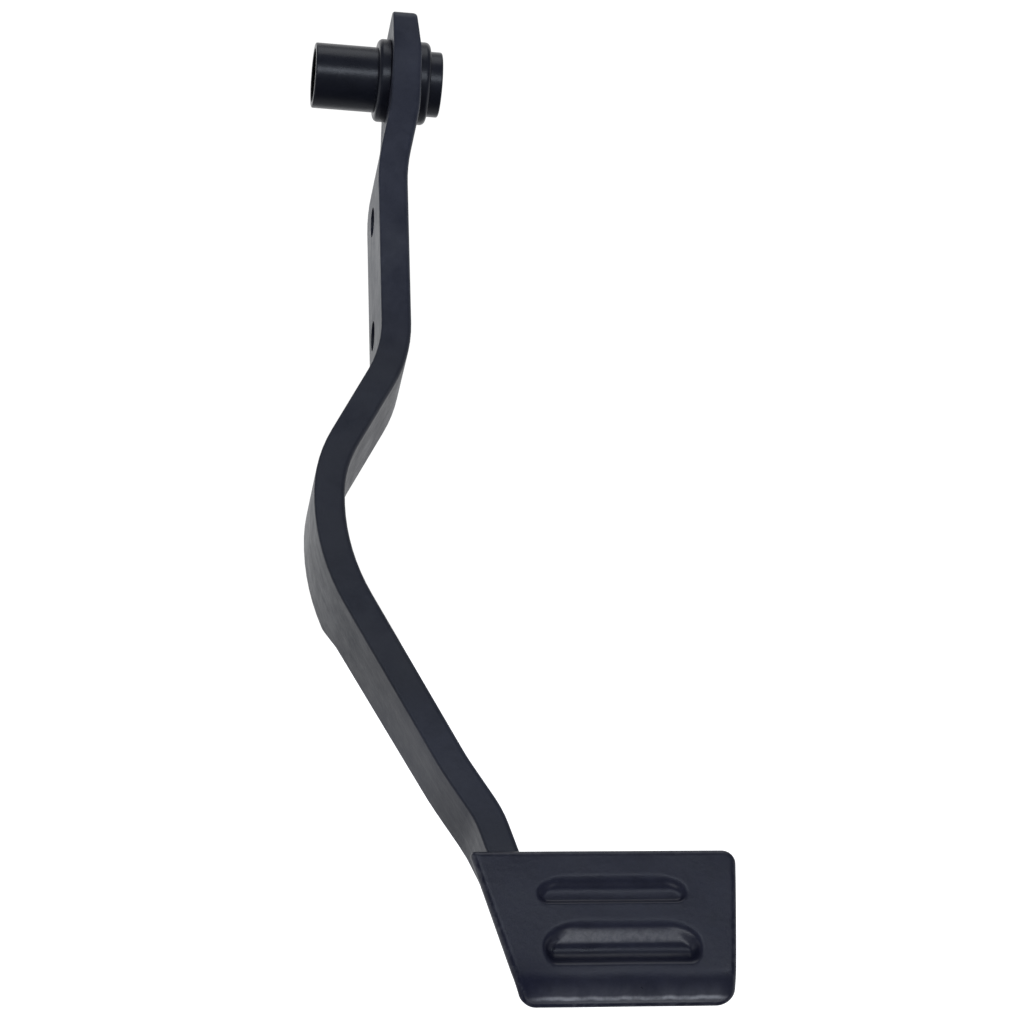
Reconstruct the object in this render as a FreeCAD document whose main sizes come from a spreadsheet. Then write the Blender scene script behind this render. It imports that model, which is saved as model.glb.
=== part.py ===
import FreeCAD, Part
import os
import math
import Sketcher
from FreeCAD import Vector, Placement, Rotation

# Hanging brake pedal: a flat steel bar bent sideways carries a cross tube at the
# top and a pressed steel foot pad at the bottom.
# Working frame of every sketch: X runs along the pivot tube to the right, Z up
# along the upper arm, Y away from the driver. The whole pedal is then leaned
# about the pivot axis by "lean" degrees, which is how it hangs in a car.

doc = FreeCAD.newDocument("brake_pedal")
sheet = doc.addObject("Spreadsheet::Sheet", "dims")
cells = [
    ("lean", 28.0),            # lean of the hanging pedal about the pivot axis, degrees
    ("bar_thick", 9.9),        # flat bar thickness
    ("bar_width", 35.0),       # flat bar width at the pivot
    ("edge_left", 0.8),        # softened bar edges, left face
    ("edge_right", 1.8),       # rounder edges of the right face, where the blank was sheared
    # control points of the bar's centre line, x and z, top to bottom
    ("path_x0", 0.0), ("path_z0", 26.0),
    ("path_x1", 0.75), ("path_z1", 4.0),
    ("path_x2", 0.35), ("path_z2", -19.5),
    ("path_x3", -3.8), ("path_z3", -44.0),
    ("path_x4", -1.4), ("path_z4", -115.8),
    ("path_x5", -22.18), ("path_z5", -158.25),
    ("path_x6", -22.18), ("path_z6", -188.9),
    ("path_x7", 18.2), ("path_z7", -260.84),
    ("path_x8", 29.2), ("path_z8", -277.4),
    ("path_x9", 48.1), ("path_z9", -330.0),
    ("bend_r1", 200.0), ("bend_r2", 60.0), ("bend_r3", 71.0), ("bend_r4", 45.0), ("bend_r5", 44.0),
    ("bend_r6", 77.0), ("bend_r7", 85.0), ("bend_r8", 34.0),
    # side outline of the bar
    ("front_y", -17.5), ("back_y", 17.5), ("top_z", 18.5),
    ("top_corner", 4.0), ("back_corner", 18.0),
    # worn-down right shoulder of the bar's top
    ("crown_x0", 5.75), ("crown_z0", 0.0), ("crown_x1", 3.25), ("crown_z1", 18.1), ("crown_x2", -1.0), ("crown_z2", 18.6), ("crown_r", 3.6),
    ("crown_out", 20.0), ("crown_high", 30.0),
    ("step_z", -201.0), ("step_r", 3.0), ("ramp_z", -209.0), ("ramp_y", 13.2), ("ramp_r", 6.0),
    ("waist_z", -262.0), ("waist_y", 9.8), ("heel_z", -279.0), ("heel_y", 9.4), ("heel_r", 6.0),
    ("neck_z", -291.0), ("neck_y", 4.7), ("neck_r", 8.0),
    ("end_back_z", -315.5), ("end_back_y", 5.6), ("end_r", 3.0), ("end_front_z", -321.0),
    # pivot tube
    ("tube_r", 11.1), ("bore_r", 8.9), ("tube_left", 29.7), ("tube_right", 13.5),
    ("collar_r", 14.1), ("collar_round", 1.8), ("tube_rim", 0.6),
    ("collar_left_in", 4.6), ("collar_left_out", 8.7), ("collar_right_in", 5.7), ("collar_right_out", 9.4),
    # cross holes of the bar
    ("pin_r", 5.0), ("pin_a_y", 1.8), ("pin_a_z", -56.0), ("pin_b_y", 6.9), ("pin_b_z", -97.0),
    # foot pad, in its own frame: centre, turn in its plane, outline, section
    ("pad_x", 67.6), ("pad_z", -312.0), ("pad_turn", 3.85),
    ("pad_thick", 3.4), ("pad_top", 23.7), ("pad_flat", -15.9), ("pad_roll", 16.0), ("pad_bend", 40.0),
    ("pad_tl", -42.0), ("pad_tr", 38.75), ("pad_bl", -29.4), ("pad_br", 34.4),
    ("corner_tl", 1.8), ("corner_tr", 3.6), ("corner_bl", 5.0), ("corner_br", 6.2),
    ("pad_edge", 1.6),
    ("rib_a_x", -0.7), ("rib_a_z", 10.8), ("rib_a_len", 45.5), ("rib_a_high", 8.8),
    ("rib_b_x", 1.3), ("rib_b_z", -6.6), ("rib_b_len", 47.4), ("rib_b_high", 11.8),
    ("rib_deep", 2.4), ("rib_taper", 50.0), ("rib_back", 2.2), ("rib_inset", 5.0),
    ("back_b_x", 3.8), ("back_b_len", 43.0),
    # fillet welds between bar and pad
    ("weld_leg", 2.4), ("weld_long", 27.0), ("weld_start", -292.0),
]
for n, (name, val) in enumerate(cells, start=1):
    sheet.set("A%d" % n, name)
    sheet.set("B%d" % n, repr(val))
    sheet.setAlias("B%d" % n, name)
doc.recompute()


def dim(name):
    return float(sheet.get(name))


def plane(body, role):
    for f in body.Origin.OriginFeatures:
        if f.Role == role:
            return f
    raise RuntimeError(role)


def new_sketch(body, name, role, offset=0.0):
    sk = body.newObject("Sketcher::SketchObject", name)
    sk.AttachmentSupport = [(plane(body, role), "")]
    sk.MapMode = "FlatFace"
    if offset:
        sk.AttachmentOffset = Placement(Vector(0, 0, offset), Rotation())
    return sk


def bind(sk, constraint, expr):
    i = sk.addConstraint(constraint)
    sk.setExpression("Constraints[%d]" % i, expr)
    return i


def locate(sk, geo, point, xe, ze, xv, zv):
    """Fix one sketch point by its two coordinates, each bound to the sheet."""
    for kind, expr, val in (("DistanceX", xe, xv), ("DistanceY", ze, zv)):
        bind(sk, Sketcher.Constraint(kind, -1, 1, geo, point, val), expr)


def fillet_points(a, p, b, r):
    """Tangent points, centre and angles of an arc of radius r in the corner a-p-b."""
    u = (a - p).normalize()
    v = (b - p).normalize()
    half = math.acos(max(-1.0, min(1.0, u.dot(v)))) / 2.0
    reach = r / math.tan(half)
    s = p + u * reach
    e = p + v * reach
    bis = (u + v).normalize()
    c = p + bis * (r / math.sin(half))
    return s, e, c


def arc_geo(s, e, c):
    """Arc about c between s and e, the short way, as (geometry, start is s)."""
    r = (s - c).Length
    a0 = math.atan2(s.y - c.y, s.x - c.x)
    a1 = math.atan2(e.y - c.y, e.x - c.x)
    turn = (a1 - a0) % (2 * math.pi)
    circle = Part.Circle(c, Vector(0, 0, 1), r)
    if turn <= math.pi:
        return Part.ArcOfCircle(circle, a0, a0 + turn), True
    return Part.ArcOfCircle(circle, a1, a1 + (2 * math.pi - turn)), False


def rounded_path(sk, pts, radii, closed, pexpr, rexpr):
    """Lines through control points with tangent arcs in the corners.

    Every control point is a construction point bound to the sheet, each line runs
    through its two control points, and each arc is tangent with a bound radius."""
    n = len(pts)
    corner = {}
    for i in range(n):
        if radii[i]:
            corner[i] = fillet_points(pts[i - 1], pts[i], pts[(i + 1) % n], radii[i])
    lines = []
    spans = n if closed else n - 1
    for i in range(spans):
        j = (i + 1) % n
        s = corner[i][1] if i in corner else pts[i]
        e = corner[j][0] if j in corner else pts[j]
        lines.append(sk.addGeometry(Part.LineSegment(s, e), False))
    for i in range(n):
        if i in corner:
            s, e, c = corner[i]
            geo, fwd = arc_geo(s, e, c)
            a = sk.addGeometry(geo, False)
            before = lines[i - 1]
            after = lines[i % spans]
            sk.addConstraint(Sketcher.Constraint("Tangent", before, 2, a, 1 if fwd else 2))
            sk.addConstraint(Sketcher.Constraint("Tangent", after, 1, a, 2 if fwd else 1))
            bind(sk, Sketcher.Constraint("Radius", a, radii[i]), rexpr[i])
            k = sk.addGeometry(Part.Point(pts[i]), True)
            locate(sk, k, 1, pexpr[i][0], pexpr[i][1], pts[i].x, pts[i].y)
            sk.addConstraint(Sketcher.Constraint("PointOnObject", k, 1, before))
            sk.addConstraint(Sketcher.Constraint("PointOnObject", k, 1, after))
        else:
            inside = closed or 0 < i < n - 1
            if inside:
                sk.addConstraint(Sketcher.Constraint("Coincident", lines[i - 1], 2, lines[i % spans], 1))
            if i < spans:
                locate(sk, lines[i], 1, pexpr[i][0], pexpr[i][1], pts[i].x, pts[i].y)
            else:
                locate(sk, lines[i - 1], 2, pexpr[i][0], pexpr[i][1], pts[i].x, pts[i].y)
    return lines


def rectangle(sk, x0, z0, x1, z1):
    """Closed four-line frame of fixed corner points."""
    c = [Vector(x0, z0, 0), Vector(x1, z0, 0), Vector(x1, z1, 0), Vector(x0, z1, 0)]
    g = [sk.addGeometry(Part.LineSegment(c[i], c[(i + 1) % 4]), False) for i in range(4)]
    for i in range(4):
        sk.addConstraint(Sketcher.Constraint("Coincident", g[i], 2, g[(i + 1) % 4], 1))
    for i in (0, 2):
        sk.addConstraint(Sketcher.Constraint("Horizontal", g[i]))
        sk.addConstraint(Sketcher.Constraint("Vertical", g[i + 1]))
    for geo, x, z in ((g[0], x0, z0), (g[2], x1, z1)):
        sk.addConstraint(Sketcher.Constraint("DistanceX", -1, 1, geo, 1, x))
        sk.addConstraint(Sketcher.Constraint("DistanceY", -1, 1, geo, 1, z))
    return g


def through_x(body, name, sk):
    """Cut a sketch of the YZ plane through the whole body both ways along X."""
    p = body.newObject("PartDesign::Pocket", name)
    p.Profile = sk
    p.Type = 1
    p.Midplane = True
    return p


lean = Rotation(Vector(1, 0, 0), -dim("lean"))

# ---------------------------------------------------------------- bent bar
arm = doc.addObject("PartDesign::Body", "pedal_arm")
arm.Label = "pedal_arm"

path = new_sketch(arm, "arm_path", "XZ_Plane")
pts = [Vector(dim("path_x%d" % i), dim("path_z%d" % i), 0) for i in range(10)]
rad = [0.0] + [dim("bend_r%d" % i) for i in range(1, 9)] + [0.0]
rounded_path(path, pts, rad, False,
             [("dims.path_x%d" % i, "dims.path_z%d" % i) for i in range(10)],
             ["dims.bend_r%d" % i for i in range(10)])
doc.recompute()

section = new_sketch(arm, "arm_section", "XY_Plane", dim("path_z0"))
section.setExpression("AttachmentOffset.Base.z", "dims.path_z0")
hw, ht = dim("bar_width") / 2 + 1.0, dim("bar_thick") / 2
corners = [Vector(-ht, -hw, 0), Vector(ht, -hw, 0), Vector(ht, hw, 0), Vector(-ht, hw, 0)]
g = [section.addGeometry(Part.LineSegment(corners[i], corners[(i + 1) % 4]), False) for i in range(4)]
for i in range(4):
    section.addConstraint(Sketcher.Constraint("Coincident", g[i], 2, g[(i + 1) % 4], 1))
for i in (0, 2):
    section.addConstraint(Sketcher.Constraint("Horizontal", g[i]))
    section.addConstraint(Sketcher.Constraint("Vertical", g[i + 1]))
locate(section, g[0], 1, "-dims.bar_thick / 2", "-dims.bar_width / 2 - 1", -ht, -hw)
locate(section, g[2], 1, "dims.bar_thick / 2", "dims.bar_width / 2 + 1", ht, hw)
doc.recompute()

sweep = arm.newObject("PartDesign::AdditivePipe", "arm_bar")
sweep.Profile = section
sweep.Spine = (path, ["Edge%d" % (i + 1) for i in range(len(path.Shape.Edges))])
sweep.Mode = "Binormal"
sweep.Binormal = Vector(0, 1, 0)
doc.recompute()

# side outline of the bar: everything outside it is cut away
side = new_sketch(arm, "arm_side", "YZ_Plane")
rectangle(side, -60, -400, 60, 60)
names = [("front_y", "end_front_z"), ("front_y", "top_z"), ("back_y", "top_z"), ("back_y", "step_z"),
         ("ramp_y", "ramp_z"), ("waist_y", "waist_z"), ("heel_y", "heel_z"), ("neck_y", "neck_z"),
         ("end_back_y", "end_back_z")]
prof = [Vector(dim(a), dim(b), 0) for a, b in names]
rnames = [None, "top_corner", "back_corner", "step_r", "ramp_r", None, "heel_r", "neck_r", "end_r"]
rounded_path(side, prof, [dim(r) if r else 0.0 for r in rnames], True, [("dims." + a, "dims." + b) for a, b in names],
             ["dims." + r if r else None for r in rnames])
doc.recompute()
outline = through_x(arm, "arm_outline", side)
doc.recompute()

bores = new_sketch(arm, "arm_bores", "YZ_Plane")
for r, y, z in (("tube_r", None, None), ("pin_r", "pin_a_y", "pin_a_z"), ("pin_r", "pin_b_y", "pin_b_z")):
    cy, cz = (dim(y), dim(z)) if y else (0.0, 0.0)
    c = bores.addGeometry(Part.Circle(Vector(cy, cz, 0), Vector(0, 0, 1), dim(r)), False)
    bind(bores, Sketcher.Constraint("Radius", c, dim(r)), "dims." + r)
    if y:
        locate(bores, c, 3, "dims." + y, "dims." + z, cy, cz)
    else:
        bores.addConstraint(Sketcher.Constraint("Coincident", c, 3, -1, 1))
doc.recompute()
holes = through_x(arm, "arm_holes", bores)
doc.recompute()


def bar_edges(shape, sign):
    """Edges between one broad face of the bar and its cut outline, holes left out."""
    found = []
    for i, e in enumerate(shape.Edges, start=1):
        faces = shape.ancestorsOfType(e, Part.Face)
        broad, rim = 0, 0
        for f in faces:
            u0, u1, v0, v1 = f.ParameterRange
            nx = f.normalAt((u0 + u1) / 2, (v0 + v1) / 2).x * sign
            surf = f.Surface
            hole = isinstance(surf, Part.Cylinder) and surf.Radius < 12.0 and abs(surf.Axis.x) > 0.99 and surf.Center.z > -150
            if nx > 0.5:
                broad += 1
            elif abs(nx) < 0.05 and not (hole and is_hole(f)):
                rim += 1
        if broad == 1 and rim == 1:
            found.append("Edge%d" % i)
    return found


def is_hole(face):
    """True for a wall of one of the round holes: it runs all the way round."""
    u0, u1, v0, v1 = face.ParameterRange
    return abs((u1 - u0) - 2 * math.pi) < 0.01


soft = arm.newObject("PartDesign::Fillet", "arm_soft_left")
soft.Base = (holes, bar_edges(holes.Shape, -1.0))
soft.setExpression("Radius", "dims.edge_left")
doc.recompute()
round_side = arm.newObject("PartDesign::Fillet", "arm_soft_right")
round_side.Base = (soft, bar_edges(soft.Shape, 1.0))
round_side.setExpression("Radius", "dims.edge_right")
doc.recompute()

# the top's right shoulder falls off in a wider round
crown = new_sketch(arm, "arm_crown", "XZ_Plane")
names = [("crown_x0", "crown_z0"), ("crown_x1", "crown_z1"), ("crown_x2", "crown_z2"), ("crown_x2", "crown_high"),
         ("crown_out", "crown_high"), ("crown_out", "crown_z0")]
rounded_path(crown, [Vector(dim(a), dim(b), 0) for a, b in names], [0.0, dim("crown_r"), 0.0, 0.0, 0.0, 0.0], True,
             [("dims." + a, "dims." + b) for a, b in names], [None, "dims.crown_r", None, None, None, None])
doc.recompute()
shoulder = arm.newObject("PartDesign::Pocket", "arm_shoulder")
shoulder.Profile = crown
shoulder.Type = 1
shoulder.Midplane = True
doc.recompute()
arm.Placement = Placement(Vector(0, 0, 0), lean)

# ---------------------------------------------------------------- pivot tube
# turned section about the pivot axis: plain tube with a rounded upset collar
# against each face of the bar
tube = doc.addObject("PartDesign::Body", "pivot_tube")
tube.Label = "pivot_tube"
ts = new_sketch(tube, "tube_section", "XZ_Plane")
tr, br, cr = dim("tube_r"), dim("bore_r"), dim("collar_r")
xl, xr = -dim("tube_left"), dim("tube_right")
la, lb, ra, rb = -dim("collar_left_out"), -dim("collar_left_in"), dim("collar_right_in"), dim("collar_right_out")
tp = [(xl, br), (xr, br), (xr, tr), (rb, tr), (rb - 0.3, cr), (ra, cr), (ra, tr),
      (lb, tr), (lb, cr), (la + 0.3, cr), (la, tr), (xl, tr)]
te = [("-dims.tube_left", "dims.bore_r"), ("dims.tube_right", "dims.bore_r"), ("dims.tube_right", "dims.tube_r"),
      ("dims.collar_right_out", "dims.tube_r"), ("dims.collar_right_out - 0.3", "dims.collar_r"),
      ("dims.collar_right_in", "dims.collar_r"), ("dims.collar_right_in", "dims.tube_r"),
      ("-dims.collar_left_in", "dims.tube_r"), ("-dims.collar_left_in", "dims.collar_r"),
      ("-dims.collar_left_out + 0.3", "dims.collar_r"),
      ("-dims.collar_left_out", "dims.tube_r"), ("-dims.tube_left", "dims.tube_r")]
tl = [ts.addGeometry(Part.LineSegment(Vector(tp[i][0], tp[i][1], 0),
                                      Vector(tp[(i + 1) % 12][0], tp[(i + 1) % 12][1], 0)), False) for i in range(12)]
for i in range(12):
    ts.addConstraint(Sketcher.Constraint("Coincident", tl[i - 1], 2, tl[i], 1))
    locate(ts, tl[i], 1, te[i][0], te[i][1], tp[i][0], tp[i][1])
doc.recompute()
turn = tube.newObject("PartDesign::Revolution", "tube_turned")
turn.Profile = ts
turn.ReferenceAxis = (ts, ["H_Axis"])
turn.Angle = 360.0
doc.recompute()


def ring_edges(shape, wanted):
    """Circular edges about the pivot axis at the given (x, radius) places."""
    found = []
    for i, e in enumerate(shape.Edges, start=1):
        c = e.Curve
        if isinstance(c, Part.Circle):
            for x, r in wanted:
                if abs(c.Center.x - x) < 0.05 and abs(c.Radius - r) < 0.05:
                    found.append("Edge%d" % i)
    return found


round_off = tube.newObject("PartDesign::Fillet", "collar_rounds")
round_off.Base = (turn, ring_edges(turn.Shape, [(rb - 0.3, cr), (la + 0.3, cr)]))
round_off.setExpression("Radius", "dims.collar_round")
doc.recompute()
rims = tube.newObject("PartDesign::Fillet", "tube_rims")
rims.Base = (round_off, ring_edges(round_off.Shape, [(xl, tr), (xr, tr), (xl, br), (xr, br)]))
rims.setExpression("Radius", "dims.tube_rim")
doc.recompute()
tube.Placement = Placement(Vector(0, 0, 0), lean)

# ---------------------------------------------------------------- foot pad
# pressed sheet: flat front, bottom edge rolled back, two pressed grooves whose
# backs stand out behind the sheet
pad = doc.addObject("PartDesign::Body", "pad_plate")
pad.Label = "pad_plate"
th, top, flat, roll = dim("pad_thick"), dim("pad_top"), dim("pad_flat"), dim("pad_roll")
bend = math.radians(dim("pad_bend"))
ps = new_sketch(pad, "pad_section", "YZ_Plane")
cy = -th + roll
p = [Vector(0, top, 0), Vector(-th, top, 0), Vector(-th, flat, 0)]
centre = Vector(cy, flat, 0)
ray = Vector(-math.cos(bend), -math.sin(bend), 0)
p += [centre + ray * roll, centre + ray * (roll - th), Vector(0, flat, 0)]
l_top = ps.addGeometry(Part.LineSegment(p[0], p[1]), False)
l_front = ps.addGeometry(Part.LineSegment(p[1], p[2]), False)
a_out = ps.addGeometry(Part.ArcOfCircle(Part.Circle(centre, Vector(0, 0, 1), roll), math.pi, math.pi + bend), False)
l_lip = ps.addGeometry(Part.LineSegment(p[3], p[4]), False)
a_in = ps.addGeometry(Part.ArcOfCircle(Part.Circle(centre, Vector(0, 0, 1), roll - th), math.pi, math.pi + bend), False)
l_back = ps.addGeometry(Part.LineSegment(p[5], p[0]), False)
for a, ap, b, bp in ((l_top, 2, l_front, 1), (a_out, 2, l_lip, 1), (l_lip, 2, a_in, 2), (l_back, 2, l_top, 1)):
    ps.addConstraint(Sketcher.Constraint("Coincident", a, ap, b, bp))
ps.addConstraint(Sketcher.Constraint("Tangent", l_front, 2, a_out, 1))
ps.addConstraint(Sketcher.Constraint("Tangent", l_back, 1, a_in, 1))
ps.addConstraint(Sketcher.Constraint("Coincident", a_out, 3, a_in, 3))
locate(ps, l_top, 1, "0", "dims.pad_top", 0.0, top)
locate(ps, l_front, 1, "-dims.pad_thick", "dims.pad_top", -th, top)
locate(ps, a_out, 3, "dims.pad_roll - dims.pad_thick", "dims.pad_flat", cy, flat)
bind(ps, Sketcher.Constraint("Radius", a_out, roll), "dims.pad_roll")
bind(ps, Sketcher.Constraint("Radius", a_in, roll - th), "dims.pad_roll - dims.pad_thick")
ps.addConstraint(Sketcher.Constraint("PointOnObject", a_out, 3, l_lip))
bind(ps, Sketcher.Constraint("DistanceY", -1, 1, a_out, 2, flat - roll * math.sin(bend)),
     "dims.pad_flat - dims.pad_roll * sin(dims.pad_bend * 1deg)")
doc.recompute()
bar = pad.newObject("PartDesign::Pad", "pad_sheet")
bar.Profile = ps
bar.Length = 100.0
bar.Midplane = True
doc.recompute()

po = new_sketch(pad, "pad_outline", "XZ_Plane")
rectangle(po, -80, -60, 80, 60)
low = flat - roll * math.sin(bend) - 1.0
corner_pts = [("pad_tl", "pad_top"), ("pad_tr", "pad_top"), ("pad_br", None), ("pad_bl", None)]
cp = [Vector(dim(a), dim(b) if b else low, 0) for a, b in corner_pts]
ce = [("dims." + a, "dims." + b if b else "dims.pad_flat - dims.pad_roll * sin(dims.pad_bend * 1deg) - 1") for a, b in corner_pts]
rounded_path(po, cp, [dim("corner_tl"), dim("corner_tr"), dim("corner_br"), dim("corner_bl")], True, ce,
             ["dims.corner_tl", "dims.corner_tr", "dims.corner_br", "dims.corner_bl"])
doc.recompute()
cut = pad.newObject("PartDesign::Pocket", "pad_trim")
cut.Profile = po
cut.Type = 1
cut.Midplane = True
doc.recompute()


def slot(sk, xe, ze, le, he, shrink, grow_expr):
    """Upright-ended slot with full radius ends, its centre, length and height bound."""
    cx, cz = dim(xe), dim(ze)
    r = (dim(he) - shrink) / 2.0
    half = (dim(le) - shrink) / 2.0 - r
    a = sk.addGeometry(Part.ArcOfCircle(Part.Circle(Vector(cx + half, cz, 0), Vector(0, 0, 1), r), -math.pi / 2, math.pi / 2), False)
    b = sk.addGeometry(Part.ArcOfCircle(Part.Circle(Vector(cx - half, cz, 0), Vector(0, 0, 1), r), math.pi / 2, 1.5 * math.pi), False)
    t1 = sk.addGeometry(Part.LineSegment(Vector(cx + half, cz + r, 0), Vector(cx - half, cz + r, 0)), False)
    t2 = sk.addGeometry(Part.LineSegment(Vector(cx - half, cz - r, 0), Vector(cx + half, cz - r, 0)), False)
    for g1, p1, g2, p2 in ((a, 2, t1, 1), (t1, 2, b, 1), (b, 2, t2, 1), (t2, 2, a, 1)):
        sk.addConstraint(Sketcher.Constraint("Tangent", g1, p1, g2, p2))
    reach = "(dims.%s - dims.%s) / 2" % (le, he)
    locate(sk, a, 3, "dims.%s + %s" % (xe, reach), "dims." + ze, cx + half, cz)
    locate(sk, b, 3, "dims.%s - %s" % (xe, reach), "dims." + ze, cx - half, cz)
    sk.addConstraint(Sketcher.Constraint("Equal", a, b))
    bind(sk, Sketcher.Constraint("Radius", a, r), "dims.%s / 2%s" % (he, grow_expr))


inset = dim("rib_inset")
pr = new_sketch(pad, "pad_ribs", "XZ_Plane")
slot(pr, "rib_a_x", "rib_a_z", "rib_a_len", "rib_a_high", inset, " - dims.rib_inset / 2")
slot(pr, "back_b_x", "rib_b_z", "back_b_len", "rib_b_high", inset, " - dims.rib_inset / 2")
doc.recompute()
ribs = pad.newObject("PartDesign::Pad", "pad_rib_backs")
ribs.Profile = pr
ribs.setExpression("Length", "dims.rib_back")
ribs.Reversed = True
doc.recompute()

pg = new_sketch(pad, "pad_grooves", "XZ_Plane", th)
pg.setExpression("AttachmentOffset.Base.z", "dims.pad_thick")
slot(pg, "rib_a_x", "rib_a_z", "rib_a_len", "rib_a_high", 0.0, "")
slot(pg, "rib_b_x", "rib_b_z", "rib_b_len", "rib_b_high", 0.0, "")
doc.recompute()
before = ribs.Shape.Volume
dent = pad.newObject("PartDesign::Pocket", "pad_groove_cuts")
dent.Profile = pg
dent.setExpression("Length", "dims.rib_deep")
dent.setExpression("TaperAngle", "-dims.rib_taper")
doc.recompute()
print("groove volume", before - dent.Shape.Volume)


def pad_rim(shape):
    """Edges of the pad's front face and of the rolled bottom's outer face."""
    found = []
    front = [f for f in shape.Faces
             if (isinstance(f.Surface, Part.Plane) and abs(f.CenterOfMass.y + th) < 0.01)
             or (isinstance(f.Surface, Part.Cylinder) and abs(f.Surface.Axis.x) > 0.99 and abs(f.Surface.Radius - roll) < 0.01)]
    for i, e in enumerate(shape.Edges, start=1):
        own = shape.ancestorsOfType(e, Part.Face)
        mine = [f for f in own if any(f.isSame(k) for k in front)]
        if len(own) == 2 and len(mine) == 1:
            mid = e.valueAt((e.FirstParameter + e.LastParameter) / 2)
            inner = abs(mid.y + th) < 0.01 and abs(mid.x) < 29 and -13.5 < mid.z < 18
            if not inner:
                found.append("Edge%d" % i)
    return found


edge = pad.newObject("PartDesign::Fillet", "pad_soft_edges")
edge.Base = (dent, pad_rim(dent.Shape))
edge.setExpression("Radius", "dims.pad_edge")
doc.recompute()
spin = Rotation(Vector(0, 1, 0), -dim("pad_turn"))
pad.Placement = Placement(lean.multVec(Vector(dim("pad_x"), dim("front_y"), dim("pad_z"))), lean.multiply(spin))

# ---------------------------------------------------------------- welds
# one fillet weld each side of the bar, in the corner between bar and pad
tilt = math.degrees(math.atan2(dim("path_x9") - dim("path_x8"), dim("path_z8") - dim("path_z9")))
along = Vector(math.sin(math.radians(tilt)), 0, -math.cos(math.radians(tilt)))
across = Vector(math.cos(math.radians(tilt)), 0, math.sin(math.radians(tilt)))
k = (dim("weld_start") - dim("path_z8")) / along.z
on_line = Vector(dim("path_x8"), dim("front_y"), dim("path_z8")) + along * k
welds = []
for name, sign in (("pad_weld_left", -1.0), ("pad_weld_right", 1.0)):
    w = doc.addObject("PartDesign::Body", name)
    w.Label = name
    sk = new_sketch(w, name + "_section", "XY_Plane")
    leg = dim("weld_leg")
    tri = [Vector(0, 0, 0), Vector(sign * leg, 0, 0), Vector(0, leg, 0)]
    ex = [("0", "0"), ("%sdims.weld_leg" % ("-" if sign < 0 else ""), "0"), ("0", "dims.weld_leg")]
    g = [sk.addGeometry(Part.LineSegment(tri[i], tri[(i + 1) % 3]), False) for i in range(3)]
    for i in range(3):
        sk.addConstraint(Sketcher.Constraint("Coincident", g[i], 2, g[(i + 1) % 3], 1))
    sk.addConstraint(Sketcher.Constraint("Coincident", g[0], 1, -1, 1))
    for i in (1, 2):
        locate(sk, g[i], 1, ex[i][0], ex[i][1], tri[i].x, tri[i].y)
    doc.recompute()
    run = w.newObject("PartDesign::Pad", name + "_bead")
    run.Profile = sk
    run.setExpression("Length", "dims.weld_long")
    run.Reversed = True
    doc.recompute()
    root = on_line + across * (sign * dim("bar_thick") / 2)
    w.Placement = Placement(lean.multVec(root), lean.multiply(Rotation(Vector(0, 1, 0), -tilt)))
    welds.append(w)

doc.recompute()
nodes = [arm, tube, pad] + welds
bad = [o.Name for o in doc.Objects if "Invalid" in o.State or "Error" in o.State]
if bad:
    raise RuntimeError("failed: " + ", ".join(bad))
for b in nodes:
    if b.Shape.isNull() or not b.Shape.isValid() or len(b.Shape.Solids) != 1:
        raise RuntimeError("bad shape: %s, %d solids" % (b.Label, len(b.Shape.Solids)))
    print(b.Label, "volume", round(b.Shape.Volume, 1), b.Shape.BoundBox)
os.makedirs("parts", exist_ok=True)
for b in nodes:
    b.Shape.exportStep("parts/%s.step" % b.Label)
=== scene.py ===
import math
import bpy
from mathutils import Matrix, Vector


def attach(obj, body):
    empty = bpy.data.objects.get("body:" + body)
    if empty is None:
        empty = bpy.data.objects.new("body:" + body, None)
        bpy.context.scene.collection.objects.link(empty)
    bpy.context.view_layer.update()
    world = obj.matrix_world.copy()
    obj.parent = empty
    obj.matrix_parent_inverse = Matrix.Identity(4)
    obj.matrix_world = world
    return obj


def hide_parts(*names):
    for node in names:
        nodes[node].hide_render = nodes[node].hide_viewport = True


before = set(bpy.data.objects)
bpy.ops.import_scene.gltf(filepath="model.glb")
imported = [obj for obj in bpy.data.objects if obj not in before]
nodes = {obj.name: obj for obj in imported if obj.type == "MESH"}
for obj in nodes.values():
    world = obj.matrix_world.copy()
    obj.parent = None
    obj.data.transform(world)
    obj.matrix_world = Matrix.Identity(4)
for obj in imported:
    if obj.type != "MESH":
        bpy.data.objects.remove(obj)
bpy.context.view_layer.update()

scene = bpy.context.scene

# The arm's own frame has X along the tube, Z along the upper arm and Y away from the
# driver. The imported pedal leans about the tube's axis, as it hangs.
LEAN = Matrix.Rotation(math.radians(-28.0), 3, "X")
MM = 0.001

# ---------------------------------------------------------------- camera
PSI = math.radians(8.227)
PHI = math.radians(28.0)
FOCAL_PX, SIDE_PX = 3972.1, 1025.0
DIST, OFF_X, OFF_Z = 1.35425, -0.038324, 0.146753
sp, cp, sf, cf = math.sin(PSI), math.cos(PSI), math.sin(PHI), math.cos(PHI)
fwd = Vector((sp * cf, cp * cf, sf))
right = Vector((cp, -sp, 0.0))
up = Vector((-sp * sf, -cp * sf, cf))
eye = LEAN @ (-(right * OFF_X + up * OFF_Z + fwd * DIST))
rot = Matrix((LEAN @ right, LEAN @ up, LEAN @ (-fwd))).transposed()
cam = bpy.data.cameras.new("camera")
cam.sensor_fit = "HORIZONTAL"
cam.sensor_width = 36.0
cam.lens = FOCAL_PX * 36.0 / SIDE_PX
cam.clip_start, cam.clip_end = 0.05, 50.0
cam_obj = bpy.data.objects.new("camera", cam)
cam_obj.matrix_world = Matrix.Translation(eye) @ rot.to_4x4()
scene.collection.objects.link(cam_obj)
scene.camera = cam_obj


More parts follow.
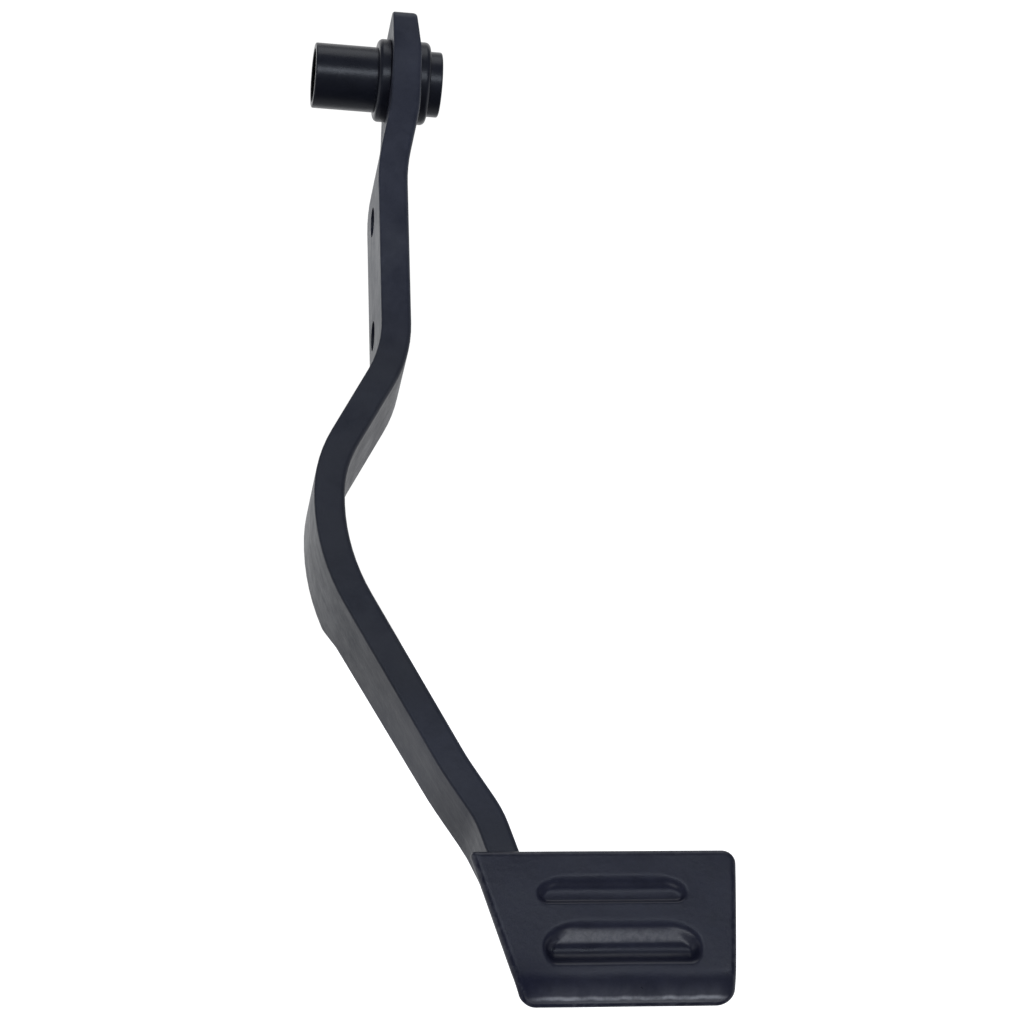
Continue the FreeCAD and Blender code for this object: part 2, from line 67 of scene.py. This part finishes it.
# ---------------------------------------------------------------- small helpers
def smooth(t):
    t = min(1.0, max(0.0, t))
    return t * t * (3.0 - 2.0 * t)


def mesh_object(name, verts, faces, attrs=None):
    me = bpy.data.meshes.new(name)
    me.from_pydata([tuple(v) for v in verts], [], faces)
    me.validate()
    for key, vals in (attrs or {}).items():
        a = me.attributes.new(key, "FLOAT", "POINT")
        a.data.foreach_set("value", vals)
    me.polygons.foreach_set("use_smooth", [True] * len(me.polygons))
    me.update()
    ob = bpy.data.objects.new(name, me)
    scene.collection.objects.link(ob)
    return ob


# ---------------------------------------------------------------- foot pad
# A pressed sheet: flat front, bottom edge bent back on a wide radius, two long pressed
# grooves that bulge out behind, softly rounded rim. All sizes in millimetres, in the
# pad's own frame: u across, w up, y away from the driver (0 on the sheet's back).
PAD_AT = Vector((67.6, -17.5, -312.0))
PAD_TURN = math.radians(-3.85)
THICK, TOP, FLAT, ROLL, BEND = 3.4, 23.9, -14.7, 17.8, math.radians(40.0)
LOW = FLAT - ROLL * BEND
LOW_W = FLAT - ROLL * math.sin(BEND)
TL, TR, BL, BR, BULGE = -43.4, 39.0, -30.0, 34.5, 0.22
CORNER = {"tl": 1.8, "tr": 4.5, "bl": 4.2, "br": 5.4}
# grooves: middle, half length, length of the run-out at the floor and at the upper shoulder,
# floor line, then the wall slopes in degrees from the floor line outwards, upper wall (reach,
# slopes) and lower wall (reach, slopes)
GROOVES = (
    (-0.7, 23.4, 3.8, 11.0, 10.0, (6.2, ((0.0, 0.0), (0.10, 5.0), (0.42, 27.0), (0.72, 12.0), (1.0, 0.0))),
     (4.0, ((0.0, 0.0), (0.36, 4.0), (0.54, 8.0), (0.67, 50.0), (0.87, 50.0), (1.0, 0.0)))),
    (1.3, 24.8, 4.2, 13.0, -7.6, (9.3, ((0.0, 0.0), (0.04, 4.5), (0.16, 17.0), (0.29, 34.0), (0.45, 39.0), (0.60, 33.0), (0.78, 12.0), (1.0, 0.0))),
     (6.5, ((0.0, 0.0), (0.11, 7.0), (0.29, 20.0), (0.60, 46.0), (0.80, 28.0), (1.0, 0.0)))),
)


def wall_table(reach, slopes, bore_shade=None, steps=240):
    """Depth of a groove wall from its floor line (first) to its shoulder (last, zero)."""
    fall = []
    for i in range(steps):
        q = (i + 0.5) / steps
        for (q0, a0), (q1, a1) in zip(slopes, slopes[1:]):
            if q0 <= q <= q1:
                fall.append(math.tan(math.radians(a0 + (a1 - a0) * smooth((q - q0) / (q1 - q0)))))
                break
    h = [0.0]
    for f in reversed(fall):
        h.append(h[-1] + f * reach / steps)
    h.reverse()
    return h if bore_shade is None else [v * bore_shade / h[0] for v in h]


def table_at(table, q):
    x = min(max(q, 0.0), 1.0) * (len(table) - 1)
    i = min(int(x), len(table) - 2)
    return table[i] + (table[i + 1] - table[i]) * (x - i)


def left_at(w):
    return BL + (TL - BL) * (w - LOW_W) / (TOP - LOW_W)


def right_at(w):
    t = (w - LOW_W) / (TOP - LOW_W)
    return BR + (TR - BR) * t + BULGE * 4.0 * t * (1.0 - t)


def rail(l):
    """Height and depth of the sheet's front at developed height l, and its slope angle."""
    if l >= FLAT:
        return l, -THICK, 0.0
    a = (FLAT - l) / ROLL
    return FLAT - ROLL * math.sin(a), -THICK + ROLL * (1.0 - math.cos(a)), a


WALLS = []
for g in GROOVES:
    upper = wall_table(*g[5])
    WALLS.append((upper, wall_table(*g[6], bore_shade=upper[0])))


def groove_depth(u, w):
    """Depth of the pressed grooves: long upper wall, hollow floor, steep lower wall.
    Also how far a point lies on the lower groove's upper wall, which carries rubbed paint together with a painted
    highlight."""
    d, wall = 0.0, 0.0
    for n, (cx, half, low_end, high_end, line, above, below) in enumerate(GROOVES):
        dw = w - line
        dv = dw / (above[0] if dw > 0 else below[0])
        end = low_end + (high_end - low_end) * smooth(dv)
        du = max(0.0, abs(u - cx) - (half - end)) / end
        q = math.hypot(du, dv)
        if q >= 1.0:
            continue
        k = smooth(0.5 + 0.5 * (dv / q if q > 1e-6 else 0.0))
        d += table_at(WALLS[n][1], q) * (1.0 - k) + table_at(WALLS[n][0], q) * k
        # lower groove's upper wall: rubbed paint together with a painted highlight, strongest left of middle
        if n == 1 and dw > 0:
            share = (0.55 + 0.45 * smooth((u + 22.0) / 7.0)) * (1.0 - 0.40 * smooth((u - 4.0) / 16.0))
            wall = max(wall, share * smooth((q - 0.21) / 0.12) * smooth((0.71 - q) / 0.30) * smooth((0.8 - du) / 0.7))
    return d, wall


def ruler(length, r, step, rings):
    """Line positions 0..length: close rings in the rounded rim at both ends, even between.
    The count of lines depends on length and step only, so both sides of the sheet match."""
    ring = [r * (1.0 - math.sin(math.pi / 2 * (rings - k) / rings)) for k in range(rings + 1)]
    n = int(round((length - 4.0) / step))
    mid = [r + (length - 2 * r) * k / n for k in range(1, n)]
    return ring + mid + [length - x for x in reversed(ring)]


def pad_side(front, cols, rows, rim):
    """One side of the sheet as a grid of points, with its rim rounded off by rim."""
    pts, edge, wall, lip, dull = [], [], [], [], []
    span_l = TOP - LOW
    rr = ruler(span_l, rim, rows, 6)
    nc = None
    for lr in rr:
        l0 = LOW + lr
        w0 = rail(l0)[0]
        width = right_at(w0) - left_at(w0)
        cc = ruler(80.0, rim, cols, 6)
        nc = len(cc)
        for c in cc:
            # distances from the four sides, the middle columns stretched to the width
            dl = c if c <= rim else (width - (80.0 - c) if 80.0 - c <= rim else rim + (c - rim) * (width - 2 * rim) / (80.0 - 2 * rim))
            dr = width - dl
            db, dt = lr, span_l - lr
            near = min(dl, dr, db, dt)
            for key, du, dv in (("tl", dl, dt), ("tr", dr, dt), ("bl", dl, db), ("br", dr, db)):
                rc = CORNER[key]
                if du < rc and dv < rc:
                    a, b = (rc - du) / rc, (rc - dv) / rc
                    k = max(a, b) / math.hypot(a, b)
                    du, dv = rc - a * k * rc, rc - b * k * rc
                    if key[1] == "l":
                        dl = du
                    else:
                        dr = du
                        dl = width - du
                    if key[0] == "t":
                        dt, db = dv, span_l - dv
                    else:
                        db, dt = dv, span_l - dv
            l = LOW + db
            w, y, a = rail(l)
            u = left_at(w) + dl * (right_at(w) - left_at(w)) / width
            drop = 0.0
            if near < rim:
                drop = rim - math.sqrt(max(0.0, rim * rim - (rim - near) ** 2))
            g, k = groove_depth(u, w)
            # slight unevenness of the pressing
            g += 0.05 * math.sin(u * 0.19 + 0.7) * math.sin(w * 0.23 + 1.1)
            n = g + drop if front else g + THICK - drop
            pts.append((u, y + n * math.cos(a), w + n * math.sin(a)))
            edge.append(1.0 - smooth(near / 2.6))
            wall.append(k)
            dull.append(1.0 - smooth(math.hypot((u - left_at(w)) / 24.0, (w + 20.0) / 15.0)))
            # band along the bottom edge: rubbed paint together with a painted highlight, on a wavy line
            side = smooth((min(dl, dr) - 1.5) / 5.0)
            wave = 0.10 * math.sin(u * 0.53 + 0.4) + 0.07 * math.sin(u * 1.31 + 1.3)
            e = db - wave
            lip.append(side * smooth((e - 2.5) / 0.5) * (0.88 * smooth((4.1 - e) / 0.8) + 0.12 * smooth((9.5 - e) / 5.0)))
    return pts, edge, wall, lip, dull, len(rr), nc


def build_pad():
    fp, fe, fw, fl_, fd, nr, nc = pad_side(True, 0.55, 0.40, 2.0)
    bp, be, bw, bl_, bd, br_, bc = pad_side(False, 0.55, 0.40, 0.7)
    verts, edge, wall, lip, dull = list(fp), list(fe), list(fw), list(fl_), list(fd)
    faces = []
    for r in range(nr - 1):
        for c in range(nc - 1):
            i = r * nc + c
            faces.append((i, i + 1, i + nc + 1, i + nc))
    off = len(verts)
    verts += bp
    edge += be
    wall += [0.0] * len(bp)
    lip += [0.0] * len(bp)
    dull += [0.0] * len(bp)
    for r in range(br_ - 1):
        for c in range(bc - 1):
            i = off + r * bc + c
            faces.append((i, i + bc, i + bc + 1, i + 1))

    def loop(base, rows_, cols_):
        out = [base + c for c in range(cols_)]
        out += [base + r * cols_ + cols_ - 1 for r in range(1, rows_)]
        out += [base + (rows_ - 1) * cols_ + c for c in range(cols_ - 2, -1, -1)]
        out += [base + r * cols_ for r in range(rows_ - 2, 0, -1)]
        return out

    fl, bl = loop(0, nr, nc), loop(off, br_, bc)
    for i in range(len(fl)):
        j = (i + 1) % len(fl)
        faces.append((fl[i], bl[i], bl[j], fl[j]))
    turn = Matrix.Rotation(PAD_TURN, 3, "Y")
    out = [(LEAN @ (turn @ Vector(v) + PAD_AT)) * MM for v in verts]
    return mesh_object("foot_pad", out, faces, {"rim": edge, "wall_wear_and_highlight": wall, "lip_wear_and_highlight": lip, "dull": dull})


foot_pad = build_pad()
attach(foot_pad, "root")
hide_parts("pad_plate")

# ---------------------------------------------------------------- weld beads
# A rippled fillet bead each side of the bar, in the corner between bar and pad.
BAR, LEG, RUN = 9.9, 2.4, 27.0
P8, P9 = Vector((29.2, -17.5, -277.4)), Vector((48.1, -17.5, -330.0))
along = (P9 - P8).normalized()
across = Vector((-along.z, 0.0, along.x))
start = P8 + along * ((-292.0 - P8.z) / along.z)


def bead(name, node, sign):
    steps, arc = 150, 12
    verts, faces = [], []
    away, up_ = across * sign, Vector((0.0, 1.0, 0.0))
    corner = start + away * (BAR / 2.0)
    for i in range(steps + 1):
        s = RUN * i / steps
        end = math.sqrt(max(0.0, 1.0 - max(0.0, (1.6 - min(s, RUN - s)) / 1.6) ** 2))
        ring = []
        for k in range(arc + 1):
            th = math.pi / 2 * k / arc
            phase = s / 1.55 + 0.32 * math.sin(2 * th) + 0.06 * math.sin(s * 0.9)
            ripple = abs(math.sin(math.pi * phase)) ** 0.6
            r = LEG * (0.90 + 0.13 * ripple + 0.03 * math.sin(s * 0.71 + th * 2.0)) * max(0.12, end)
            ring.append(corner + along * s + away * (r * math.cos(th)) + up_ * (r * math.sin(th)))
        ring.append(corner + along * s - away * 0.3 - up_ * 0.3)
        verts += ring
    m = arc + 2
    for i in range(steps):
        for k in range(m):
            a, b = i * m + k, i * m + (k + 1) % m
            q = (a, b, b + m, a + m)
            faces.append(q if sign > 0 else q[::-1])
    cap0, cap1 = tuple(range(m)), tuple(steps * m + k for k in range(m))
    faces.append(cap0[::-1] if sign > 0 else cap0)
    faces.append(cap1 if sign > 0 else cap1[::-1])
    ob = mesh_object(name, [(LEAN @ v) * MM for v in verts], faces)
    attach(ob, "root")
    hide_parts(node)
    return ob


weld_l = bead("weld_bead_left", "pad_weld_left", -1.0)
weld_r = bead("weld_bead_right", "pad_weld_right", 1.0)


# ---------------------------------------------------------------- materials
class Tree:
    """Short hand for building a node tree."""

    def __init__(self, name):
        self.mat = bpy.data.materials.new(name)
        self.mat.use_nodes = True
        self.nt = self.mat.node_tree
        self.bsdf = self.nt.nodes["Principled BSDF"]
        self.out = self.nt.nodes["Material Output"]
        tc = self.nt.nodes.new("ShaderNodeTexCoord")
        self.co = tc.outputs["Object"]

    def node(self, kind, **props):
        n = self.nt.nodes.new(kind)
        for k, v in props.items():
            setattr(n, k, v)
        return n

    def link(self, a, b):
        self.nt.links.new(a, b)

    def scaled(self, x, y, z, turn=0.0):
        """Coordinates turned about X first, then stretched."""
        r = self.node("ShaderNodeMapping")
        r.inputs["Rotation"].default_value = (math.radians(turn), 0.0, 0.0)
        n = self.node("ShaderNodeMapping")
        n.inputs["Scale"].default_value = (x, y, z)
        self.link(self.co, r.inputs["Vector"])
        self.link(r.outputs["Vector"], n.inputs["Vector"])
        return n.outputs["Vector"]

    def noise(self, scale, detail=3.0, rough=0.55, distort=0.0, vec=None):
        n = self.node("ShaderNodeTexNoise")
        n.inputs["Scale"].default_value = scale
        n.inputs["Detail"].default_value = detail
        n.inputs["Roughness"].default_value = rough
        n.inputs["Distortion"].default_value = distort
        self.link(vec if vec is not None else self.co, n.inputs["Vector"])
        return n.outputs["Fac"]

    def ramp(self, fac, stops):
        n = self.node("ShaderNodeValToRGB")
        e = n.color_ramp.elements
        while len(e) < len(stops):
            e.new(0.5)
        for s, (pos, col) in zip(e, stops):
            s.position = pos
            s.color = (*col, 1.0) if len(col) == 3 else col
        self.link(fac, n.inputs["Fac"])
        return n.outputs["Color"]

    def span(self, fac, a, b, lo, hi):
        n = self.node("ShaderNodeMapRange")
        n.clamp = True
        for k, v in zip(("From Min", "From Max", "To Min", "To Max"), (a, b, lo, hi)):
            n.inputs[k].default_value = v
        self.link(fac, n.inputs["Value"])
        return n.outputs["Result"]

    def math(self, op, a, b=None):
        n = self.node("ShaderNodeMath", operation=op)
        for i, v in enumerate((a, b)):
            if v is None:
                continue
            if isinstance(v, (int, float)):
                n.inputs[i].default_value = v
            else:
                self.link(v, n.inputs[i])
        return n.outputs[0]

    def mix(self, fac, a, b):
        n = self.node("ShaderNodeMix", data_type="RGBA")
        for sock, v in ((n.inputs[0], fac), (n.inputs[6], a), (n.inputs[7], b)):
            if isinstance(v, tuple):
                sock.default_value = (*v, 1.0)
            elif isinstance(v, (int, float)):
                sock.default_value = v
            else:
                self.link(v, sock)
        return n.outputs[2]

    def bump(self, height, strength, distance, normal=None):
        n = self.node("ShaderNodeBump")
        n.inputs["Strength"].default_value = strength
        n.inputs["Distance"].default_value = distance
        self.link(height, n.inputs["Height"])
        if normal is not None:
            self.link(normal, n.inputs["Normal"])
        return n.outputs["Normal"]

    def attr(self, name):
        n = self.node("ShaderNodeAttribute")
        n.attribute_name = name
        return n.outputs["Fac"]


DARK, LIGHT = (0.0270, 0.0300, 0.0460), (0.0460, 0.0500, 0.0730)
PAD_DARK, PAD_LIGHT = (0.0096, 0.0105, 0.0225), (0.0182, 0.0196, 0.0380)
TUBE_DARK, TUBE_LIGHT = (0.0095, 0.0105, 0.0165), (0.0180, 0.0195, 0.0285)
# light grey of rubbed paint, also used for the painted highlights on the pad
SCUFF_AND_HIGHLIGHT = (0.300, 0.303, 0.325)
GLOSS = 0.40


def paint(name, dark=DARK, light=LIGHT, rough=(0.33, 0.50), edge_wear=0.5, wear_and_highlight=None, drawn=0.0, bore=0.0, dull=False, painted_shade=0.0):
    """Satin black paint over steel: mottled, finely pitted, rubbed along the edges."""
    t = Tree(name)
    cloud = t.noise(38.0, 5.0, 0.6)
    mottle = t.noise(210.0, 4.0, 0.65, 0.4)
    grain = t.noise(1500.0, 3.0, 0.6)
    both = t.math("ADD", t.math("MULTIPLY", cloud, 0.55), t.math("MULTIPLY", mottle, 0.45))
    base = t.ramp(both, [(0.34, dark), (0.66, light)])
    # dust grey in the pits
    base = t.mix(t.span(grain, 0.62, 0.80, 0.0, 0.25), base, (0.060, 0.063, 0.076))
    r = t.span(both, 0.33, 0.67, rough[0], rough[1])
    if drawn:
        # rolling marks along the length of the bar, showing through the paint
        marks = t.noise(1.0, 4.0, 0.6, 0.3, t.scaled(22.0, 620.0, 22.0, 28.0))
        base = t.mix(t.span(marks, 0.50, 0.72, 0.0, drawn), base, (0.090, 0.094, 0.108))
        r = t.math("ADD", r, t.span(marks, 0.35, 0.65, -0.04, 0.04))
    if painted_shade:
        # painted shade: darker bands of colour by height, on the bends and by the pad
        at = t.node("ShaderNodeSeparateXYZ")
        t.link(t.co, at.inputs[0])
        shade_bands = t.ramp(t.span(at.outputs["Z"], -0.25, -0.05, 0.0, 1.0),
                      [(0.04, (0.7, 0.7, 0.7)), (0.10, (0.0, 0.0, 0.0)), (0.17, (0.0, 0.0, 0.0)), (0.25, (1.0, 1.0, 1.0)),
                       (0.76, (1.0, 1.0, 1.0)), (0.92, (0.0, 0.0, 0.0))])
        base = t.mix(t.math("MULTIPLY", shade_bands, t.span(cloud, 0.35, 0.65, 0.7 * painted_shade, 1.2 * painted_shade)), base, (0.0095, 0.0100, 0.0130))
    if bore:
        # painted shade: near black and almost without sheen inside the bore, which runs along X through the origin
        away = t.node("ShaderNodeVectorMath", operation="LENGTH")
        t.link(t.scaled(0.0, 1.0, 1.0), away.inputs[0])
        bore_shade = t.span(away.outputs["Value"], bore, bore + 0.0003, 1.0, 0.0)
        base = t.mix(bore_shade, base, t.mix(mottle, (0.0025, 0.0025, 0.0028), (0.0060, 0.0058, 0.0056)))
        r = t.math("ADD", r, t.math("MULTIPLY", bore_shade, 0.30))
        t.link(t.span(bore_shade, 0.0, 1.0, GLOSS, 0.06), t.bsdf.inputs["Specular IOR Level"])
    # rubbed edges: where the rounded normal leaves the surface normal
    bev = t.node("ShaderNodeBevel", samples=4)
    bev.inputs["Radius"].default_value = 0.0013
    geo = t.node("ShaderNodeNewGeometry")
    dot = t.node("ShaderNodeVectorMath", operation="DOT_PRODUCT")
    t.link(bev.outputs["Normal"], dot.inputs[0])
    t.link(geo.outputs["Normal"], dot.inputs[1])
    curve = t.span(dot.outputs["Value"], 0.995, 0.90, 0.0, 1.0)
    chips = t.noise(420.0, 5.0, 0.7, 0.6)
    rub_and_highlight = t.math("MULTIPLY", curve, t.span(chips, 0.54, 0.70, 0.0, edge_wear))
    # the pad adds rubbed paint that is also a painted highlight, on its lower groove's wall and bottom edge
    if wear_and_highlight is not None:
        rub_and_highlight = t.math("MAXIMUM", rub_and_highlight, wear_and_highlight(t))
    base = t.mix(rub_and_highlight, base, SCUFF_AND_HIGHLIGHT)
    r = t.math("ADD", r, t.math("MULTIPLY", rub_and_highlight, 0.12))
    t.link(base, t.bsdf.inputs["Base Color"])
    t.link(r, t.bsdf.inputs["Roughness"])
    if dull:
        # trodden dull towards one corner
        t.link(t.span(t.attr("dull"), 0.0, 1.0, GLOSS, 0.35 * GLOSS), t.bsdf.inputs["Specular IOR Level"])
    elif not bore:
        t.bsdf.inputs["Specular IOR Level"].default_value = GLOSS
    peel = t.noise(520.0, 2.0, 0.5)
    n1 = t.bump(peel, 0.10, 0.0004)
    n2 = t.bump(grain, 0.10, 0.0002, n1)
    t.link(n2, t.bsdf.inputs["Normal"])
    return t.mat


def pad_wear_and_highlight(t):
    """Rubbed paint on the pad's rim; on the lower groove's upper wall and along the bottom edge, rubbed paint that is
    also a painted highlight.
    """
    patch = t.noise(380.0, 4.0, 0.62, 0.5)
    wall = t.math("MULTIPLY", t.attr("wall_wear_and_highlight"), t.span(patch, 0.30, 0.66, 0.06, 0.32))
    rim = t.math("MULTIPLY", t.attr("rim"), t.span(patch, 0.46, 0.68, 0.0, 0.20))
    streaks = t.noise(1.0, 6.0, 0.70, 0.0, t.scaled(130.0, 90.0, 90.0))
    lip = t.math("MULTIPLY", t.attr("lip_wear_and_highlight"), t.span(streaks, 0.33, 0.58, 0.30, 1.0))
    return t.math("MAXIMUM", t.math("MAXIMUM", wall, rim), lip)


arm_mat = paint("arm_satin_black", edge_wear=0.18, drawn=0.45, painted_shade=0.45)
tube_mat = paint("tube_satin_black", TUBE_DARK, TUBE_LIGHT, rough=(0.25, 0.34), edge_wear=0.30, bore=0.0090)
pad_mat = paint("pad_satin_black", PAD_DARK, PAD_LIGHT, rough=(0.26, 0.37), edge_wear=0.0, wear_and_highlight=pad_wear_and_highlight, dull=True)
weld_mat = paint("weld_satin_black", rough=(0.38, 0.55), edge_wear=0.14)
for key, m in (("pedal_arm", arm_mat), ("pivot_tube", tube_mat), ("pad_plate", pad_mat),
               ("pad_weld_left", weld_mat), ("pad_weld_right", weld_mat)):
    nodes[key].data.materials.clear()
    nodes[key].data.materials.append(m)
for ob, m in ((foot_pad, pad_mat), (weld_l, weld_mat), (weld_r, weld_mat)):
    ob.data.materials.append(m)

# ---------------------------------------------------------------- stage
bpy.ops.mesh.primitive_plane_add(size=24.0, location=(0, 0, -0.55))
floor = bpy.context.object
floor.name = "floor"
ft = Tree("floor_white")
fcol = ft.ramp(ft.noise(3.0, 2.0), [(0.3, (0.93, 0.93, 0.93)), (0.7, (0.95, 0.95, 0.95))])
ft.link(fcol, ft.bsdf.inputs["Base Color"])
ft.bsdf.inputs["Roughness"].default_value = 0.8
ft.bsdf.inputs["Emission Color"].default_value = (1.0, 1.0, 1.0, 1.0)
ft.bsdf.inputs["Emission Strength"].default_value = 0.95
floor.data.materials.append(ft.mat)
floor.visible_glossy = False
floor.visible_diffuse = False

# ---------------------------------------------------------------- light
# A bright white backdrop behind the pedal, a dim cool room on every other side.
w = bpy.data.worlds.new("studio")
scene.world = w
w.use_nodes = True
nt = w.node_tree
nt.nodes.clear()
coord = nt.nodes.new("ShaderNodeTexCoord")


def wdot(vec):
    n = nt.nodes.new("ShaderNodeVectorMath")
    n.operation = "DOT_PRODUCT"
    nt.links.new(coord.outputs["Generated"], n.inputs[0])
    n.inputs[1].default_value = vec
    return n.outputs["Value"]


def wmix(mode, a, b):
    n = nt.nodes.new("ShaderNodeMix")
    n.data_type = "RGBA"
    n.blend_type = mode
    n.inputs[0].default_value = 1.0
    nt.links.new(a, n.inputs[6])
    nt.links.new(b, n.inputs[7])
    return n.outputs[2]


def lobe(az, el, inner, outer, colour):
    """Soft round patch of light centred on a direction, in degrees."""
    a, e = math.radians(az), math.radians(el)
    n = nt.nodes.new("ShaderNodeMapRange")
    n.interpolation_type = "SMOOTHSTEP"
    n.inputs["From Min"].default_value = math.cos(math.radians(outer))
    n.inputs["From Max"].default_value = math.cos(math.radians(inner))
    nt.links.new(wdot((math.cos(e) * math.cos(a), math.cos(e) * math.sin(a), math.sin(e))), n.inputs["Value"])
    r = nt.nodes.new("ShaderNodeValToRGB")
    r.color_ramp.elements[0].color = (0.0, 0.0, 0.0, 1.0)
    r.color_ramp.elements[1].color = (*colour, 1.0)
    nt.links.new(n.outputs["Result"], r.inputs["Fac"])
    return r.outputs["Color"]


glow = lobe(82, 9, 25, 60, (0.74, 0.74, 0.74))
for spec in ((135, 7, 15, 40, (0.375, 0.390, 0.395)), (90, 86, 7, 25, (1.15, 1.18, 1.22)),
             (-90, 40, 15, 100, (0.090, 0.100, 0.125)), (0, 90, 178, 179.9, (0.075, 0.080, 0.095)),
             (5, -12, 8, 42, (0.60, 0.62, 0.66)), (178, -12, 8, 42, (0.60, 0.62, 0.66)), (90, -55, 10, 42, (0.30, 0.31, 0.33))):
    glow = wmix("ADD", glow, lobe(*spec))
bg = nt.nodes.new("ShaderNodeBackground")
nt.links.new(glow, bg.inputs["Color"])
bg.inputs["Strength"].default_value = 1.0
white = nt.nodes.new("ShaderNodeBackground")
white.inputs["Color"].default_value = (1.0, 1.0, 1.0, 1.0)
white.inputs["Strength"].default_value = 1.05
path = nt.nodes.new("ShaderNodeLightPath")
pick = nt.nodes.new("ShaderNodeMixShader")
nt.links.new(path.outputs["Is Camera Ray"], pick.inputs[0])
nt.links.new(bg.outputs[0], pick.inputs[1])
nt.links.new(white.outputs[0], pick.inputs[2])
wout = nt.nodes.new("ShaderNodeOutputWorld")
nt.links.new(pick.outputs[0], wout.inputs["Surface"])


def area(name, at, to, size, watts, colour):
    li = bpy.data.lights.new(name, "AREA")
    li.shape = "RECTANGLE"
    li.size, li.size_y = size
    li.energy = watts
    li.color = colour
    ob = bpy.data.objects.new(name, li)
    ob.location = at
    d = Vector(to) - Vector(at)
    ob.rotation_euler = d.to_track_quat("-Z", "Y").to_euler()
    ob.visible_camera = False
    scene.collection.objects.link(ob)
    return ob


key = area("front_soft", (0.0, -0.64, 0.195), (0.0, 0.0, 0.0), (0.8, 0.15), 0.40, (0.86, 0.93, 1.05))
key.data.spread = math.radians(90.0)
card = area("bounce_card", (0.05, -0.45, -0.415), (0.06, -0.165, -0.275), (0.34, 0.13), 0.42, (0.92, 0.95, 1.0))
low = bpy.data.collections.new("lit_by_card")
low.objects.link(foot_pad)
card.light_linking.receiver_collection = low

scene.view_settings.view_transform = "Standard"
scene.view_settings.look = "None"
